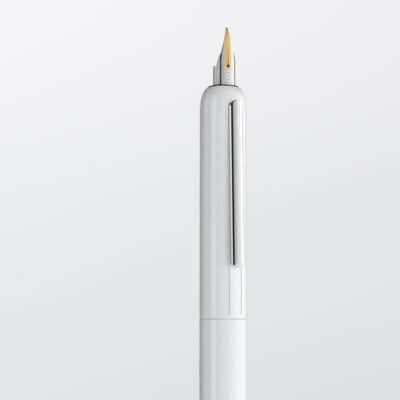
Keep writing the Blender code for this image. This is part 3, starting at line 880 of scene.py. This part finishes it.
CARRIED = {
    "cam_sleeve": BRASS, "bulkhead_ring": STEEL, "guide_sleeve": STEEL, "guide_collar": BRASS,
    "thrust_ring": THRUST, "carrier_tube": STEEL, "carriage_head": BLACK, "carriage_sleeve": STEEL,
    "drive_ring": BRASS, "ink_tube": CLEAR, "converter_band": BAND, "spring_cup": STEEL,
    "converter_knob": BLACK, "piston_rod": STEEL, "piston": RUBBER, "clip_plate": STEEL,
}
for name, material in CARRIED.items():
    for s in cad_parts[name].material_slots:
        s.material = material

# ---------------------------------------------------------------- camera

VIEW_ANGLE, YAW, PITCH, ROLL = radians(-31.0), radians(1.35122), radians(5.14539), radians(0.12093)
DISTANCE, EYE_HEIGHT, LENS, SENSOR = 0.2692946, 0.0835576, 89.0174, 36.0

back = Vector((sin(VIEW_ANGLE), -cos(VIEW_ANGLE), 0))
side = Vector((cos(VIEW_ANGLE), sin(VIEW_ANGLE), 0))
up = Vector((0, 0, 1))


def camera_turn():
    """The camera's orientation: it looks along -back, then turns by YAW, PITCH and ROLL."""
    ahead = -back * cos(YAW) - side * sin(YAW)
    right = ahead.cross(up).normalized()
    aim = ahead * cos(PITCH) + right.cross(ahead) * sin(PITCH)
    x_axis = right * cos(ROLL) + right.cross(aim) * sin(ROLL)
    return Matrix((x_axis, x_axis.cross(aim), -aim)).transposed().to_4x4()


camera_data = bpy.data.cameras.new("camera")
camera_data.lens = LENS
camera_data.sensor_width = SENSOR
camera_data.clip_start, camera_data.clip_end = 0.005, 20.0
camera = bpy.data.objects.new("camera", camera_data)
bpy.context.scene.collection.objects.link(camera)
camera.matrix_world = Matrix.Translation(back * DISTANCE + up * EYE_HEIGHT) @ camera_turn()
bpy.context.scene.camera = camera

# ---------------------------------------------------------------- studio

scene = bpy.context.scene
scene.view_settings.view_transform = "Standard"
scene.view_settings.look = "None"

world = bpy.data.worlds.new("studio")
scene.world = world
world.use_nodes = True
tree = world.node_tree
for n in list(tree.nodes):
    tree.nodes.remove(n)


def wnode(kind, **values):
    n = tree.nodes.new(kind)
    for key, value in values.items():
        setattr(n, key, value)
    return n


def wmath(op, a, b=None, c=None):
    n = wnode("ShaderNodeMath", operation=op)
    for socket, value in zip(n.inputs, (a, b, c)):
        if isinstance(value, bpy.types.NodeSocket):
            tree.links.new(value, socket)
        elif value is not None:
            socket.default_value = value
    return n.outputs[0]


def wramp(value, stops):
    """A colour ramp. A stop is a place and a colour, or a place and a grey."""
    n = wnode("ShaderNodeValToRGB")
    n.color_ramp.interpolation = "LINEAR"
    for i, (place, c) in enumerate(stops):
        e = n.color_ramp.elements[i] if i < 2 else n.color_ramp.elements.new(place)
        e.position = place
        e.color = (*c, 1.0) if isinstance(c, tuple) else (c, c, c, 1.0)
    tree.links.new(value, n.inputs[0])
    return n.outputs[0]


def background(color, strength=1.0):
    n = wnode("ShaderNodeBackground")
    tree.links.new(color, n.inputs[0])
    n.inputs[1].default_value = strength
    return n.outputs[0]


def linear(*rgb):
    """Display values from 0 to 255 as linear light."""
    return tuple(((v / 255 + 0.055) / 1.055) ** 2.4 for v in rgb)


coord = wnode("ShaderNodeTexCoord")
split = wnode("ShaderNodeSeparateXYZ")
tree.links.new(coord.outputs["Generated"], split.inputs[0])
dx, dy, dz = split.outputs
across = wmath("ADD", wmath("MULTIPLY", dx, side.x), wmath("MULTIPLY", dy, side.y))
towards = wmath("ADD", wmath("MULTIPLY", dx, back.x), wmath("MULTIPLY", dy, back.y))
climb = wmath("MULTIPLY_ADD", dz, 0.5, 0.5)

# Backdrop: a pale sweep, lighter above than below and a little lighter to the left.
SWEEP = [
    (0.40, linear(221, 222, 224)), (0.4555, linear(225, 226, 228)), (0.495, linear(229, 230, 233)),
    (0.545, linear(233, 233.5, 236)), (0.5945, linear(238.5, 238.5, 240.5)), (0.633, linear(241, 241, 243)),
    (0.75, linear(243, 243, 245)),
]
shade = wnode("ShaderNodeVectorMath", operation="SCALE")
tree.links.new(wramp(climb, SWEEP), shade.inputs[0])
tree.links.new(wmath("MULTIPLY_ADD", across, -0.15, 1.0), shade.inputs["Scale"])

# Studio surroundings for reflections: soft panels round the pen, under a dark ceiling. Each has its angle, in
# degrees from the camera's side, and its brightness.
ROOM_STRENGTH = 2.5
PANELS = [
    (-180, .75), (-156, .75), (-150, .07), (-108, .06), (-99, .5), (-93, .8), (-84, .8), (-77, .2),
    (-66, .12), (-58, 1.1), (-52, 1.5), (-40, 1.5), (-34, .7), (-30, .02), (7, .02), (14, .12), (24, .24),
    (36, .40), (50, .62), (64, .85), (80, 1.05), (96, 1.4), (112, 1.4), (126, .9), (142, .6), (180, .75),
]
CEILING = [(0.0, 1.0), (0.70, 1.0), (0.79, 0.04), (1.0, 0.04)]
turned_by = wmath("MULTIPLY_ADD", wmath("ARCTAN2", across, towards), 1 / (2 * pi), 0.5)
panels = wramp(turned_by, [((a + 180) / 360, v / ROOM_STRENGTH) for a, v in PANELS])
room = background(wmath("MULTIPLY", panels, wramp(climb, CEILING)), ROOM_STRENGTH)

# The camera sees the backdrop, and everything else sees the room.
path = wnode("ShaderNodeLightPath")
mixer = wnode("ShaderNodeMixShader")
tree.links.new(path.outputs["Is Camera Ray"], mixer.inputs[0])
tree.links.new(room, mixer.inputs[1])
tree.links.new(background(shade.outputs[0]), mixer.inputs[2])
out = wnode("ShaderNodeOutputWorld")
tree.links.new(mixer.outputs[0], out.inputs[0])

AIM_HEIGHT = 0.09


def softbox(name, angle, elevation, distance, size, power):
    """A square light that no reflection shows. Its two angles are in degrees from the camera's side."""
    light = bpy.data.lights.new(name, "AREA")
    light.shape = "RECTANGLE"
    light.size, light.size_y = size, size
    light.energy = power
    ob = bpy.data.objects.new(name, light)
    scene.collection.objects.link(ob)
    a, e = radians(angle), radians(elevation)
    way = (back * cos(a) + side * sin(a)) * cos(e) + up * sin(e)
    ob.location = Vector((0, 0, AIM_HEIGHT)) + way * distance
    ob.rotation_euler = way.to_track_quat("Z", "Y").to_euler()
    ob.visible_camera = False
    ob.visible_glossy = False


softbox("key_right", 62, 5, 0.8, 0.7, 3.1)
softbox("front_fill", -5, 5, 0.9, 0.6, 2.8)
softbox("top_fill", -30, 84, 0.9, 0.9, 0.9)


# ---------------------------------------------------------------- floor


def floor_paper():
    """Pale paper that fades out towards the edge and glows a little, as under wide soft light."""
    g = Graph("floor_paper")
    x, y, _ = g.xyz()
    away = g.distance(x, y)
    grain = g.noise(900, 4, 0.6)
    color = g.mix(grain, (0.80, 0.80, 0.81), (0.83, 0.83, 0.84))
    g.feed(g.shader.inputs["Alpha"], g.span(away, 0.12, 0.33, 1.0, 0.0, True))
    g.shader.inputs["Emission Color"].default_value = (0.98, 0.98, 1.0, 1.0)
    rough = g.span(grain, 0.3, 0.7, 0.6, 0.75)
    return g.finish(color, rough, g.bump(grain, 0.1, 0.05 * MM), Emission_Strength=0.3)


def floor_disc():
    """A flat disc of rings, in metres."""
    steps = 96
    bm = bmesh.new()
    rings = [circle(bm, r, 0, steps) for r in (0, 0.02, 0.05, 0.09, 0.14, 0.2, 0.27, 0.34)]
    for a, b in zip(rings, rings[1:]):
        for i in range(steps):
            j = (i + 1) % steps
            bm.faces.new(list(dict.fromkeys((a[i % len(a)], b[i], b[j], a[j % len(a)]))))
    return bm


bm = floor_disc()
mesh = bpy.data.meshes.new("floor")
bm.to_mesh(mesh)
bm.free()
mesh.materials.append(floor_paper())
floor = bpy.data.objects.new("floor", mesh)
scene.collection.objects.link(floor)
floor.location.z = -0.02 * MM

# ---------------------------------------------------------------- update

bpy.context.view_layer.update()
